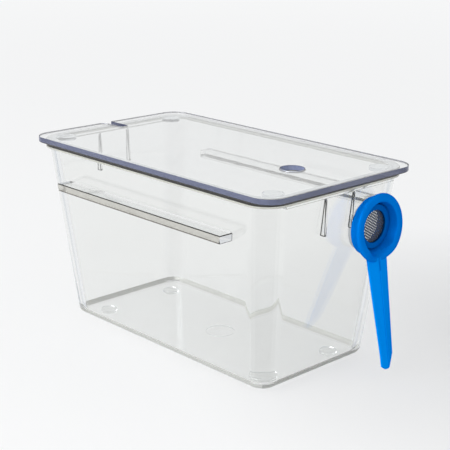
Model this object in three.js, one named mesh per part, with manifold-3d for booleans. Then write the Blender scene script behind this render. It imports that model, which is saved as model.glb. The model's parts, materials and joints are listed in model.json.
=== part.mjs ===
// Zebrafish rack tank: a clear tapered tub with side rails, a loose flat lid
// and a blue overflow strainer pushed into a round port in one end wall.
// Millimetres, +Z up, +X towards the strainer end, +Y towards the strainer's side.
// The origin is the middle of the object's box, on the plane that the feet stand on.
import * as THREE from 'three';
import { mergeVertices } from 'three/addons/utils/BufferGeometryUtils.js';
import Module from 'manifold-3d';

const wasm = await Module();
wasm.setup();

// Clearances shared by every piece
const seatGap = 0.3;
const cutOverrun = 4;

// Tub: sizes over the outside of its walls at the rim, and how far each wall draws in to the floor
const rimLength = 284;
const rimWidth = 163;
const rimCornerRadius = 18;
const wallTaper = 18;
const floorCornerRadius = 13;
const tubHeight = 162.2;
const wallThickness = 3;
const floorThickness = 3.2;
const bottomEdgeRadius = 5.5;
const cavityEdgeRadius = 3.5;
const gateMarkRadius = 13;
const gateMarkDepth = 0.8;

// Rim: a lip all round, deeper between the corners of each end wall
const lipReach = 3;
const lipHeight = 3;
const apronHeight = 5.8;

// Feet under the floor
const footRadius = 7.5;
const footHeight = 3;
const footEdgeRadius = 0.8;
const footEndInset = 22.5;
const footSideInset = 25;

// Rails that carry the tank between two rack runners
const railEndInset = 38;
const railHeight = 7;
const railEndDraft = 1;
const railOverhang = 10.9;
const railDrop = 30;

// Upright ribs on the end walls, whose outer edges make the taper square
const ribThickness = 2.2;
const ribFromCollar = 0.3;
const ribStandOff = 2;
const ribTopRadius = 4;
const ribHeight = 31;

// Overflow port in the +X end wall, and the collar that squares its mouth
const portRadius = 19.2;
const portOffsetShare = 0.2368;
const portDrop = 38.9;
const collarWall = 2.5;
const collarStandOff = 4.6;
const collarEdgeRadius = 0.8;

// Lid and the pads that keep it centred in the mouth
const lidThickness = 5;
const lidOverhangEnd = 8;
const lidOverhangSide = 5.5;
const lidCornerRadius = 17;
const inletRadius = 10;
const inletFromEnd = 59;
const notchWidth = 8;
const notchDepth = 25.5;
const notchFlareRadius = 8;
const notchEndRadius = 1.5;
const padRadius = 8.5;
const padThickness = 3;
const padEndGap = 0.6;
const padSideGap = 7.6;

// Strainer, turned about the axis of the port: each reach is from the outside of its spigot
const spigotClearance = 0.6;
const spigotWall = 3.4;
const spigotTailLength = 11;
const flangeReach = 5.8;
const flangeThickness = 2.2;
const flangeEdgeRadius = 0.8;
const bowlDepth = 12.2;
const bowlBackReach = 4.8;
const bowlFrontReach = 10.5;
const bowlEdgeRadius = 1.6;
const bowlLeanShare = 0.075;
const mouthReach = 4;
const mouthApexReach = 11.4;
const lipBackReach = 1.2;
const lipFrontReach = 6.2;

// Seal in its groove round the spigot
const grooveDepth = 1.8;
const grooveWidth = 2.6;
const grooveFromCollarFace = 3.4;

// Wire mesh and the ring that holds it in the bowl
const meshThickness = 0.8;
const meshPitch = 2.1;
const meshWireWidth = 0.7;
const meshAngle = THREE.MathUtils.degToRad(32);
const meshSeatFromFlange = 1.5;
const meshRimWidth = 1.2;
const holdRingThickness = 1.7;
const holdRingWidth = 1.9;

// Spout: two flat wings that meet at a shallow crease and lean away from the tank.
// Its end is cut across low down on the near side, and slantwise on the far side.
const spoutTopDrop = 15;
const spoutShoulderDrop = 27;
const spoutShoulderHalfWidth = 12.1;
const spoutTaperDrop = 106;
const spoutTaperHalfWidth = 7.4;
const spoutTipDrop = 117.1;
const spoutNearCornerDrop = 114.5;
const spoutNearCornerHalfWidth = 7;
const spoutNearTipHalfWidth = 4;
const spoutFarTipHalfWidth = 0.5;
const spoutThickness = 1.6;
const spoutCreaseInset = 1.1;
const spoutLeanShare = 0.1775;
const spoutOpeningShare = 0.05;

// Fineness of round shapes
const cornerSteps = 8;
const edgeSteps = 4;
const roundSegments = 48;
const smallRoundSegments = 12;

// Places that follow from the sizes above
const floorLength = rimLength - 2 * wallTaper;
const floorWidth = rimWidth - 2 * wallTaper;
const rimTop = footHeight + tubHeight;
const lidBottom = rimTop + seatGap;
const lidLength = rimLength + 2 * lidOverhangEnd;
const lidWidth = rimWidth + 2 * lidOverhangSide;
const railTop = rimTop - railDrop;
const railBottom = railTop - railHeight;
const railLength = rimLength - 2 * railEndInset;
const railSpan = rimWidth + 2 * railOverhang;
const apronBottom = rimTop - apronHeight;
const portHeight = rimTop - portDrop;
const portOffset = rimWidth * portOffsetShare;
const portWallX = rimLength / 2 - wallTaper * portDrop / tubHeight;
const collarFaceX = portWallX + collarStandOff;
const collarRadius = portRadius + collarWall;
const ribOffset = portOffset - collarRadius - ribFromCollar;
const spigotRadius = portRadius - spigotClearance;
const spigotBoreRadius = spigotRadius - spigotWall;
const throatRadius = spigotRadius;
const flangeRadius = spigotRadius + flangeReach;
const bowlBackRadius = spigotRadius + bowlBackReach;
const bowlFrontRadius = spigotRadius + bowlFrontReach;
const mouthRadius = throatRadius + mouthReach;
const mouthApexDistance = throatRadius + mouthApexReach;
const lipBackRadius = throatRadius + lipBackReach;
const lipFrontRadius = throatRadius + lipFrontReach;
const strainerBackX = collarFaceX + seatGap;
const mouthX = strainerBackX + bowlDepth;
const meshSeatX = strainerBackX + meshSeatFromFlange;
const meshRadius = throatRadius - seatGap;
const creaseTopX = mouthX - spoutCreaseInset;
const spoutTipLean = spoutLeanShare * (spoutTipDrop - spoutShoulderDrop);
const boxFrontX = creaseTopX + spoutTipLean + spoutOpeningShare * spoutNearTipHalfWidth;
const boxCentreX = (boxFrontX - lidLength / 2) / 2;

const clear = { color: 0xe6eef2, roughness: 0.08, metalness: 0, transparent: true };
const materials = {
  tubPlastic: new THREE.MeshStandardMaterial({ ...clear, opacity: 0.28 }),
  lidPlastic: new THREE.MeshStandardMaterial({ ...clear, color: 0xd3dcf0, opacity: 0.36 }),
  padPlastic: new THREE.MeshStandardMaterial({ ...clear, roughness: 0.4, opacity: 0.5 }),
  bluePlastic: new THREE.MeshStandardMaterial({ color: 0x0a6fd0, roughness: 0.32, metalness: 0 }),
  steelMesh: new THREE.MeshStandardMaterial({ color: 0xb9b6b0, roughness: 0.35, metalness: 1 }),
  sealRubber: new THREE.MeshStandardMaterial({ color: 0x20242a, roughness: 0.6, metalness: 0 }),
};

function toSolid(geometry) {
  const bare = geometry.clone();
  bare.deleteAttribute('normal');
  bare.deleteAttribute('uv');
  const merged = mergeVertices(bare);
  return new wasm.Manifold(new wasm.Mesh({
    numProp: 3,
    vertProperties: new Float32Array(merged.attributes.position.array),
    triVerts: new Uint32Array(merged.index.array),
  }));
}

function toGeometry(solid) {
  const mesh = solid.getMesh();
  const geometry = new THREE.BufferGeometry();
  geometry.setAttribute('position', new THREE.BufferAttribute(mesh.vertProperties, mesh.numProp));
  geometry.setIndex(new THREE.BufferAttribute(mesh.triVerts, 1));
  geometry.computeVertexNormals();
  return geometry;
}

function lerp(from, to, share) {
  return from + (to - from) * share;
}

// A level ring of points round a rectangle with round corners
function roundedRing(halfLength, halfWidth, radius, height) {
  const ring = [];
  const corners = [[1, 1], [-1, 1], [-1, -1], [1, -1]];
  corners.forEach(([sideX, sideY], quarter) => {
    for (let step = 0; step <= cornerSteps; step += 1) {
      const angle = (quarter + step / cornerSteps) * Math.PI / 2;
      ring.push(new THREE.Vector3(
        sideX * (halfLength - radius) + radius * Math.cos(angle),
        sideY * (halfWidth - radius) + radius * Math.sin(angle),
        height,
      ));
    }
  });
  return ring;
}

// A closed body through a stack of convex rings, each with as many points
function loft(rings) {
  const count = rings[0].length;
  const points = rings.flat();
  const index = [];
  for (let level = 0; level + 1 < rings.length; level += 1) {
    for (let k = 0; k < count; k += 1) {
      const a = level * count + k;
      const b = level * count + (k + 1) % count;
      index.push(a, b, b + count, a, b + count, a + count);
    }
  }
  const top = (rings.length - 1) * count;
  for (let k = 1; k + 1 < count; k += 1) {
    index.push(0, k + 1, k);
    index.push(top, top + k, top + k + 1);
  }
  const geometry = new THREE.BufferGeometry().setFromPoints(points);
  geometry.setIndex(index);
  return geometry;
}

// Half sizes and corner radius of the tub's walls at a height, drawn in by an inset
function wallAt(height, inset) {
  const share = (height - footHeight) / tubHeight;
  return {
    halfLength: lerp(floorLength, rimLength, share) / 2 - inset,
    halfWidth: lerp(floorWidth, rimWidth, share) / 2 - inset,
    radius: lerp(floorCornerRadius, rimCornerRadius, share) - inset,
  };
}

function wallRing(height, inset) {
  const wall = wallAt(height, inset);
  return roundedRing(wall.halfLength, wall.halfWidth, wall.radius, height);
}

// Tapered body between two heights, with a rounded lower edge
function taperedBody(bottom, top, inset, edgeRadius) {
  const rings = [];
  for (let step = 0; step <= edgeSteps; step += 1) {
    const angle = (step / edgeSteps) * Math.PI / 2;
    const drawnIn = edgeRadius * (1 - Math.sin(angle));
    rings.push(wallRing(bottom + edgeRadius * (1 - Math.cos(angle)), inset + drawnIn));
  }
  rings.push(wallRing(top, inset));
  return toSolid(loft(rings));
}

// The outside of the tub's walls, grown by a clearance, for cutting what sits on them
function tubOutside(clearance) {
  return taperedBody(footHeight - clearance, rimTop, -clearance, bottomEdgeRadius);
}

function boxSolid(lowX, highX, lowY, highY, lowZ, highZ) {
  const geometry = new THREE.BoxGeometry(highX - lowX, highY - lowY, highZ - lowZ);
  geometry.translate((lowX + highX) / 2, (lowY + highY) / 2, (lowZ + highZ) / 2);
  return toSolid(geometry);
}

// A body of revolution about the port's axis, from a closed outline of [x, radius]
// that runs forwards along the bore and back along the outside
function turnedGeometry(outline) {
  const profile = [...outline, outline[0]].reverse().map(([x, radius]) => new THREE.Vector2(radius, x));
  const geometry = new THREE.LatheGeometry(profile, roundSegments);
  geometry.rotateZ(-Math.PI / 2);
  geometry.translate(0, portOffset, portHeight);
  return geometry;
}

function turnedOnPort(outline) {
  return toSolid(turnedGeometry(outline));
}

function portCylinder(radius, lowX, highX) {
  const geometry = new THREE.CylinderGeometry(radius, radius, highX - lowX, roundSegments);
  geometry.rotateZ(-Math.PI / 2);
  geometry.translate((lowX + highX) / 2, portOffset, portHeight);
  return toSolid(geometry);
}

function tubSolid() {
  const lipWall = wallAt(rimTop, -lipReach);
  const lipRing = (height) => roundedRing(lipWall.halfLength, lipWall.halfWidth, lipWall.radius, height);
  const straight = rimWidth / 2 - rimCornerRadius;
  const cavityTop = rimTop + cutOverrun;
  let tub = taperedBody(footHeight, rimTop, 0, bottomEdgeRadius);
  tub = tub.add(toSolid(loft([lipRing(rimTop - lipHeight), lipRing(rimTop)])));
  tub = tub.add(boxSolid(-lipWall.halfLength, lipWall.halfLength, -straight, straight, apronBottom, rimTop));
  tub = tub.subtract(taperedBody(footHeight + floorThickness, cavityTop, wallThickness, cavityEdgeRadius));
  tub = tub.subtract(portCylinder(portRadius, rimLength / 2 - portRadius, rimLength / 2 + cutOverrun));
  const mark = new THREE.CylinderGeometry(gateMarkRadius, gateMarkRadius, 2 * gateMarkDepth, roundSegments);
  mark.rotateX(Math.PI / 2);
  mark.translate(0, 0, footHeight);
  return tub.subtract(toSolid(mark));
}

function footGeometry() {
  const top = footHeight - seatGap;
  const profile = [new THREE.Vector2(0, 0)];
  for (let step = 0; step <= edgeSteps; step += 1) {
    const angle = (step / edgeSteps) * Math.PI / 2;
    profile.push(new THREE.Vector2(
      footRadius - footEdgeRadius * (1 - Math.sin(angle)),
      footEdgeRadius * (1 - Math.cos(angle)),
    ));
  }
  profile.push(new THREE.Vector2(footRadius, top), new THREE.Vector2(0, top));
  const geometry = new THREE.LatheGeometry(profile, roundSegments);
  geometry.rotateX(Math.PI / 2);
  return geometry;
}

function railSolid(side) {
  const inner = floorWidth / 2 - wallThickness;
  const outer = railSpan / 2;
  const low = railLength / 2 - railEndDraft;
  const outline = new THREE.Shape();
  outline.moveTo(-low, railBottom);
  outline.lineTo(low, railBottom);
  outline.lineTo(railLength / 2, railTop);
  outline.lineTo(-railLength / 2, railTop);
  outline.closePath();
  const geometry = new THREE.ExtrudeGeometry(outline, { depth: outer - inner, bevelEnabled: false });
  geometry.rotateX(Math.PI / 2);
  geometry.translate(0, side > 0 ? outer : -inner, 0);
  return toSolid(geometry).subtract(tubOutside(seatGap));
}

// Rib outline in the plane of X and Z, from inside the wall out to an upright edge
function ribSolid(endSide, spacingSide) {
  const inner = floorLength / 2 - wallThickness;
  const outer = wallAt(apronBottom, 0).halfLength + ribStandOff;
  const top = apronBottom - seatGap;
  const bottom = top - ribHeight;
  const outline = new THREE.Shape();
  outline.moveTo(inner, bottom);
  outline.lineTo(outer, bottom);
  outline.lineTo(outer, top - ribTopRadius);
  outline.quadraticCurveTo(outer, top, outer - ribStandOff, top);
  outline.lineTo(inner, top);
  outline.closePath();
  const geometry = new THREE.ExtrudeGeometry(outline, {
    depth: ribThickness, bevelEnabled: false, curveSegments: edgeSteps,
  });
  geometry.rotateX(Math.PI / 2);
  geometry.translate(0, ribThickness / 2, 0);
  if (endSide < 0) geometry.rotateZ(Math.PI);
  geometry.translate(0, spacingSide * ribOffset, 0);
  const rib = toSolid(geometry).subtract(tubOutside(seatGap));
  if (endSide < 0) return rib;
  return rib.subtract(portCylinder(collarRadius + seatGap, inner - cutOverrun, outer + cutOverrun))
    .subtract(portCylinder(flangeRadius + seatGap, collarFaceX, outer + cutOverrun));
}

function collarSolid() {
  const inner = floorLength / 2;
  const outline = [[inner, portRadius], [collarFaceX, portRadius]];
  for (let step = 0; step <= edgeSteps; step += 1) {
    const angle = (step / edgeSteps) * Math.PI / 2;
    outline.push([
      collarFaceX - collarEdgeRadius * (1 - Math.cos(angle)),
      collarRadius - collarEdgeRadius * (1 - Math.sin(angle)),
    ]);
  }
  outline.push([inner, collarRadius]);
  return turnedOnPort(outline).subtract(tubOutside(seatGap));
}

// Lid outline: round corners, and a slot in the -X edge whose -Y side flares out
function lidGeometry() {
  const x = lidLength / 2;
  const y = lidWidth / 2;
  const r = lidCornerRadius;
  const slot = notchWidth / 2;
  const slotEnd = -x + notchDepth;
  const outline = new THREE.Shape();
  outline.moveTo(-x + r, -y);
  outline.lineTo(x - r, -y);
  outline.absarc(x - r, -y + r, r, -Math.PI / 2, 0, false);
  outline.absarc(x - r, y - r, r, 0, Math.PI / 2, false);
  outline.absarc(-x + r, y - r, r, Math.PI / 2, Math.PI, false);
  outline.lineTo(-x, slot);
  outline.lineTo(slotEnd - notchEndRadius, slot);
  outline.absarc(slotEnd - notchEndRadius, slot - notchEndRadius, notchEndRadius, Math.PI / 2, 0, true);
  outline.absarc(slotEnd - notchEndRadius, -slot + notchEndRadius, notchEndRadius, 0, -Math.PI / 2, true);
  outline.lineTo(-x + notchFlareRadius, -slot);
  outline.absarc(-x + notchFlareRadius, -slot - notchFlareRadius, notchFlareRadius,
    Math.PI / 2, Math.PI, false);
  outline.absarc(-x + r, -y + r, r, Math.PI, 1.5 * Math.PI, false);
  const inlet = new THREE.Path();
  inlet.absarc(x - inletFromEnd, 0, inletRadius, 0, 2 * Math.PI, true);
  outline.holes.push(inlet);
  const geometry = new THREE.ExtrudeGeometry(outline, {
    depth: lidThickness, bevelEnabled: false, curveSegments: smallRoundSegments,
  });
  geometry.translate(0, 0, lidBottom);
  return geometry;
}

function padGeometry() {
  const geometry = new THREE.CylinderGeometry(padRadius, padRadius, padThickness, roundSegments);
  geometry.rotateX(Math.PI / 2);
  geometry.translate(0, 0, lidBottom - seatGap - padThickness / 2);
  return geometry;
}

// The bowl's front leans: its lower side stands further out than its upper side
function bowlLean(x, height) {
  const share = Math.max(0, x - strainerBackX) / bowlDepth;
  return bowlLeanShare * (portHeight - height) * share;
}

// A cross-section of the bowl's hollow: round, but drawn down to a point below
function bowlRing(x, radius, apexDistance) {
  const ring = [];
  const reach = Math.acos(Math.min(1, radius / apexDistance));
  for (let k = 0; k < roundSegments; k += 1) {
    const angle = (k / roundSegments) * 2 * Math.PI;
    const fromBottom = Math.abs(Math.atan2(Math.sin(angle), Math.cos(angle)));
    const r = fromBottom < reach ? radius / Math.cos(reach - fromBottom) : radius;
    const height = portHeight - r * Math.cos(angle);
    ring.push(new THREE.Vector3(x + bowlLean(x, height), portOffset + r * Math.sin(angle), height));
  }
  return ring;
}

// A hollow that widens from the mesh's seat to the mouth, and runs on past it
function bowlHollow(backRadius, frontRadius, apexDistance) {
  const grow = 1 + cutOverrun / (mouthX - meshSeatX);
  return toSolid(loft([
    bowlRing(meshSeatX, backRadius, backRadius),
    bowlRing(
      mouthX + cutOverrun,
      lerp(backRadius, frontRadius, grow),
      lerp(backRadius, apexDistance, grow),
    ),
  ]));
}

function strainerTurning() {
  const tailX = strainerBackX - spigotTailLength;
  const grooveX = collarFaceX - grooveFromCollarFace;
  const grooveRadius = spigotRadius - grooveDepth;
  const outline = [
    [tailX, spigotBoreRadius],
    [meshSeatX, spigotBoreRadius],
    [meshSeatX, throatRadius],
    [mouthX, throatRadius],
  ];
  for (let step = 0; step <= edgeSteps; step += 1) {
    const angle = (step / edgeSteps) * Math.PI / 2;
    outline.push([
      mouthX - bowlEdgeRadius * (1 - Math.cos(angle)),
      bowlFrontRadius - bowlEdgeRadius * (1 - Math.sin(angle)),
    ]);
  }
  outline.push(
    [strainerBackX + flangeThickness, bowlBackRadius],
    [strainerBackX + flangeThickness - flangeEdgeRadius, flangeRadius],
    [strainerBackX, flangeRadius],
    [strainerBackX, spigotRadius],
    [grooveX + grooveWidth / 2, spigotRadius],
    [grooveX + grooveWidth / 2, grooveRadius],
    [grooveX - grooveWidth / 2, grooveRadius],
    [grooveX - grooveWidth / 2, spigotRadius],
    [tailX, spigotRadius],
  );
  const geometry = turnedGeometry(outline);
  const place = geometry.attributes.position;
  for (let k = 0; k < place.count; k += 1) {
    place.setX(k, place.getX(k) + bowlLean(place.getX(k), place.getZ(k)));
  }
  return toSolid(geometry);
}

// Half of the spout's outline below its shoulder, as [distance across, drop]
function spoutEnd(side) {
  if (side > 0) return [[spoutFarTipHalfWidth, spoutTipDrop]];
  return [[spoutNearCornerHalfWidth, spoutNearCornerDrop], [spoutNearTipHalfWidth, spoutTipDrop]];
}

// One wing of the spout, drawn flat in the plane of Y and Z and then leaned and opened
function spoutWing(side) {
  const outline = new THREE.Shape();
  outline.moveTo(-spoutThickness / 2, -spoutTopDrop);
  outline.lineTo(spoutShoulderHalfWidth, -spoutTopDrop);
  outline.lineTo(spoutShoulderHalfWidth, -spoutShoulderDrop);
  outline.lineTo(spoutTaperHalfWidth, -spoutTaperDrop);
  spoutEnd(side).forEach(([across, drop]) => outline.lineTo(across, -drop));
  outline.lineTo(-spoutThickness / 2, -spoutTipDrop);
  outline.closePath();
  const geometry = new THREE.ExtrudeGeometry(outline, { depth: spoutThickness, bevelEnabled: false });
  const place = geometry.attributes.position;
  for (let k = 0; k < place.count; k += 1) {
    const across = place.getX(k);
    const up = place.getY(k);
    const lean = -spoutLeanShare * (up + spoutShoulderDrop);
    const front = creaseTopX + lean + spoutOpeningShare * across;
    place.setXYZ(k, front + place.getZ(k) - spoutThickness, portOffset + side * across, portHeight + up);
  }
  if (side < 0) {
    const index = [...Array(place.count).keys()];
    for (let k = 0; k < index.length; k += 3) [index[k + 1], index[k + 2]] = [index[k + 2], index[k + 1]];
    geometry.setIndex(index);
  }
  return toSolid(geometry);
}

function strainerSolid() {
  const spout = spoutWing(1).add(spoutWing(-1));
  const backOfFlange = boxSolid(
    strainerBackX - spigotTailLength, strainerBackX, portOffset - spigotRadius, portOffset + spigotRadius,
    portHeight - spoutTipDrop, portHeight,
  );
  const bowl = strainerTurning().subtract(bowlHollow(throatRadius, mouthRadius, mouthApexDistance));
  const lip = bowlHollow(lipBackRadius, lipFrontRadius, lipFrontRadius);
  return bowl.add(spout.subtract(backOfFlange).subtract(lip));
}

function sealGeometry() {
  const grooveRadius = spigotRadius - grooveDepth;
  const inner = grooveRadius + seatGap;
  const outer = portRadius - seatGap;
  const geometry = new THREE.TorusGeometry(
    (inner + outer) / 2, (outer - inner) / 2, smallRoundSegments, roundSegments,
  );
  geometry.rotateY(Math.PI / 2);
  geometry.translate(collarFaceX - grooveFromCollarFace, portOffset, portHeight);
  return geometry;
}

// Disc of crossing wires: a square hole wherever a whole one fits inside the rim
function meshSolid() {
  const open = (meshPitch - meshWireWidth) / 2;
  const limit = meshRadius - meshRimWidth;
  const count = Math.floor(meshRadius / meshPitch);
  const disc = new THREE.CylinderGeometry(meshRadius, meshRadius, meshThickness, roundSegments);
  disc.rotateX(Math.PI / 2);
  let net = toSolid(disc);
  for (let row = -count; row <= count; row += 1) {
    for (let column = -count; column <= count; column += 1) {
      const x = column * meshPitch;
      const y = row * meshPitch;
      if (Math.hypot(Math.abs(x) + open, Math.abs(y) + open) < limit) {
        net = net.subtract(boxSolid(x - open, x + open, y - open, y + open, -meshThickness, meshThickness));
      }
    }
  }
  return net;
}

function meshGeometry() {
  const geometry = toGeometry(meshSolid());
  geometry.rotateZ(meshAngle);
  geometry.rotateX(Math.PI / 2);
  geometry.rotateZ(Math.PI / 2);
  geometry.translate(meshSeatX + seatGap + meshThickness / 2, portOffset, portHeight);
  return geometry;
}

function holdRingSolid() {
  const low = meshSeatX + seatGap + meshThickness + seatGap;
  const outline = [
    [low, meshRadius - holdRingWidth],
    [low + holdRingThickness, meshRadius - holdRingWidth],
    [low + holdRingThickness, meshRadius],
    [low, meshRadius],
  ];
  return turnedOnPort(outline);
}

function addPiece(group, name, geometry, material) {
  const mesh = new THREE.Mesh(geometry, material);
  mesh.name = name;
  group.add(mesh);
  return mesh;
}

const sides = [['near', -1], ['far', 1]];
const ends = [['inlet_end', 1], ['notch_end', -1]];

function buildTank() {
  const tank = new THREE.Group();
  addPiece(tank, 'tank_tub', toGeometry(tubSolid()), materials.tubPlastic);
  addPiece(tank, 'port_collar', toGeometry(collarSolid()), materials.tubPlastic);
  for (const [sideName, side] of sides) {
    addPiece(tank, `side_rail_${sideName}`, toGeometry(railSolid(side)), materials.tubPlastic);
    for (const [endName, end] of ends) {
      const place = `${endName}_${sideName}`;
      addPiece(tank, `end_rib_${place}`, toGeometry(ribSolid(end, side)), materials.tubPlastic);
      const foot = addPiece(tank, `foot_${place}`, footGeometry(), materials.tubPlastic);
      foot.position.set(end * (floorLength / 2 - footEndInset), side * (floorWidth / 2 - footSideInset), 0);
    }
  }
  return tank;
}

function buildLid() {
  const lid = new THREE.Group();
  addPiece(lid, 'lid_plate', lidGeometry(), materials.lidPlastic);
  const mouth = wallAt(rimTop, wallThickness);
  for (const [sideName, side] of sides) {
    for (const [endName, end] of ends) {
      const pad = addPiece(lid, `lid_pad_${endName}_${sideName}`, padGeometry(), materials.padPlastic);
      pad.position.set(
        end * (mouth.halfLength - padEndGap - padRadius),
        side * (mouth.halfWidth - padSideGap - padRadius),
        0,
      );
    }
  }
  return lid;
}

function buildStrainer() {
  const strainer = new THREE.Group();
  addPiece(strainer, 'strainer_body', toGeometry(strainerSolid()), materials.bluePlastic);
  addPiece(strainer, 'strainer_mesh', meshGeometry(), materials.steelMesh);
  addPiece(strainer, 'mesh_hold_ring', toGeometry(holdRingSolid()), materials.bluePlastic);
  addPiece(strainer, 'port_seal', sealGeometry(), materials.sealRubber);
  return strainer;
}

const part = new THREE.Group();
part.add(buildTank(), buildLid(), buildStrainer());
part.position.x = -boxCentreX;
part.updateMatrixWorld(true);

export default part;
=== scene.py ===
"""Looks of a zebrafish rack tank: clear tub and lid, blue strainer, woven steel mesh."""
import json
import math

import bmesh
import bpy
from bpy.props import FloatProperty, FloatVectorProperty, PointerProperty
from mathutils import Matrix, Vector


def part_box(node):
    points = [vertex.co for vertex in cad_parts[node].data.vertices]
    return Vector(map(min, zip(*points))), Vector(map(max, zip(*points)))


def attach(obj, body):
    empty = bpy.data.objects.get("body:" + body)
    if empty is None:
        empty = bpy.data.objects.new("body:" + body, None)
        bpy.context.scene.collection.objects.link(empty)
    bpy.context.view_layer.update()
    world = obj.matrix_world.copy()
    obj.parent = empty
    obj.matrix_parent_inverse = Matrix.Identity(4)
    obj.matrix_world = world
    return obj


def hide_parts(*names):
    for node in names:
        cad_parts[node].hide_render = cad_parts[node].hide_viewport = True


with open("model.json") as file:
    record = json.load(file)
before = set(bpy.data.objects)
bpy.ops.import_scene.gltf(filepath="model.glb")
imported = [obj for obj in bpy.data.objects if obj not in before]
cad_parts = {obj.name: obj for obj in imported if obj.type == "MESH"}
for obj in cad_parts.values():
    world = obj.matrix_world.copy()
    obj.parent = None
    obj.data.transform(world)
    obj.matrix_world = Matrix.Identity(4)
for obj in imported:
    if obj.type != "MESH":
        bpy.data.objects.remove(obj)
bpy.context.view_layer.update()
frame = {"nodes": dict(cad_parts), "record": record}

bl_info = {
    "name": "Zebrafish Tank",
    "version": (1, 0, 0),
    "blender": (4, 5, 0),
    "location": "View3D > Sidebar > Fish Tank",
    "description": "Dresses a clear rack tank for zebrafish with its lid and strainer",
    "category": "Object",
}

RECORD = frame["record"]
BODIES = {node: body for body, nodes in RECORD["behaviour"]["bodies"].items() for node in nodes}
SIDES = ("near", "far")
ENDS = ("inlet_end", "notch_end")
CORNERS = [f"{end}_{side}" for end in ENDS for side in SIDES]

# Tolerances and angles
WELD = 1e-6
LEVEL_STEP = 0.00005
FLAT_ANGLE = math.radians(0.6)
SHARP_ANGLE = math.radians(28)
OUTLINE_ANGLE = math.radians(60)
QUARTER = math.pi / 2

# Places of the finishes on the tank's pieces, after the clear plastic, which comes first; all of them are
# painted light and shade along edges, rail face, rim top and corners
(PAINTED_PALE_LINE, PAINTED_DARK_LINE, PAINTED_RAIL_SHADE, PAINTED_RIM_HIGHLIGHT, PAINTED_LIP_SHADE, PAINTED_SIDE_BASE_LINE, PAINTED_RAIL_LOWER_LINE, CORNER,
 PAINTED_END_BASE_LINE) = range(1, 10)

# The same on the lid plate, whose edge and hole finishes are painted shade, and then on the strainer, whose
# bore and hollow are painted shade and whose spout is painted light
PAINTED_SHADE_LID_EDGE, PAINTED_SHADE_LID_LINE, PAINTED_SHADE_LID_HOLE = range(1, 4)
OUTSIDE, BORE, HOLLOW, SPOUT = range(4)

# Sockets of a Mix node that mixes colours
MIX_FACTOR, MIX_FIRST, MIX_SECOND = 0, 6, 7
MIX_RESULT = 2

# Light in clear plastic: its bending, the turns after which it passes, and what shadows let through
ACRYLIC_IOR = 1.49
PAD_IOR = 1.15
MOST_TURNS = 1.5
CLEAR_SHADOW = (0.93, 0.94, 0.95, 1)
CLEAR_SHADOW_SHARE = 0.9
EDGE_SHADOW = (0.8, 0.82, 0.85, 1)
EDGE_SHADOW_SHARE = 0.8

# Studio: floor, surroundings, soft box and camera
FLOOR_REACH = 6.0
FLOOR_DROP = 0.0002
# Painted light on the floor: it grows paler far from the tank
PAINTED_LIGHT_FADE_SCALE = 0.3
PAINTED_FAR_BRIGHTENING = 1.1
# A painted shadow on the floor: a soft dark patch beside the tank
PAINTED_SHADOW_SCALE = 2.8
PAINTED_SHADOW_PLACE = (-0.61, -0.61, 0.0)
PAINTED_SHADOW_SHARE = 0.34
PAINTED_SHADOW_TONE = 0.3
FLOOR_GLOW = 0.7
GLOW_STRENGTH = 1.06
ZENITH_LIGHT = 0.6
HORIZON_LIGHT = 0.9
SOFT_BOX_WATTS = 29
SOFT_BOX_SIZE = 1.4
SOFT_BOX_PLACE = (0.0, -1.65, 1.0)
SOFT_BOX_AIM = (0, 0, 0.08)
LENS_LENGTH = 90.78
SENSOR_WIDTH = 36
CAMERA_PLACE = (0.685562, -0.6543, 0.3931)
CAMERA_TURN = math.radians(46.203)
CAMERA_TILT = math.radians(73.037)
CAMERA_ROLL = math.radians(0.597)

# The CAD model's places, in metres; the axis is the port's, from the mesh's seat
TUB_LOW, TUB_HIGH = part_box("tank_tub")
MESH_LOW, MESH_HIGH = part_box("strainer_mesh")
TUB_X = (TUB_LOW[0] + TUB_HIGH[0]) / 2
MESH_GAP = 0.0003
AXIS = Vector((MESH_LOW[0] - MESH_GAP, (MESH_LOW[1] + MESH_HIGH[1]) / 2, (MESH_LOW[2] + MESH_HIGH[2]) / 2))
MESH_X = (MESH_LOW[0] + MESH_HIGH[0]) / 2
MESH_RADIUS = (MESH_HIGH[1] - MESH_LOW[1]) / 2
TUB_HALF_LENGTH = (TUB_HIGH[0] - TUB_LOW[0]) / 2
TUB_HALF_WIDTH = (TUB_HIGH[1] - TUB_LOW[1]) / 2

# Tub, rails and lid: cuts, and the slopes and places that tell their faces apart
PORT_CUT = 0.06
GATE_MARK_RADIUS = 0.013
GATE_MARK_DEPTH = 0.0016
END_DRAFT = 0.0012
SIDEWAYS = 0.15
DOWNWARDS = 0.97
CORNER_TURN = 0.3
CORNER_SHARE = 0.5
LEVEL_ENOUGH = 0.8
UPRIGHT_ENOUGH = 0.5
LID_MIDDLE_LENGTH = 0.85
LID_MIDDLE_WIDTH = 0.6

# Strainer: distances ahead of the mesh's seat, radii about the port's axis, drops below it
THROAT_RADIUS = 0.0186
BORE_RADIUS = 0.0162
BORE_REACH = 0.0005
SPIGOT_END = -0.0075
FLANGE_BACK = -0.0015
FLANGE_RADIUS = 0.0244
BOWL_BACK = 0.0011
BOWL_BACK_RADIUS = 0.0246
WALL_DEPTHS = (0.0, 0.0022, 0.0044, 0.0066, 0.0082)
GROOVE_BACK = -0.0065
GROOVE_FRONT = -0.0039
GROOVE_RADIUS = 0.0168
MOUTH_AHEAD = 0.0107
MOUTH_RADIUS = 0.0214
RIM_RADIUS = 0.0300
RIM_AHEAD = 0.006
HOLLOW_REACH = 0.0002
HOLLOW_EDGE = 0.0012

# The mouth's low part, which opens downwards over the spout
OPENING_ANGLE = 0.8
OPENING_DROP = 0.0032
OPENING_BACK = 0.0032
OPENING_AHEAD = 0.004
OPENING_DEPTH = 0.0067
OPENING_RADIUS = 0.0295
OPENING_FADE = 0.0081
BOWL_LEAN = 0.075

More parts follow.
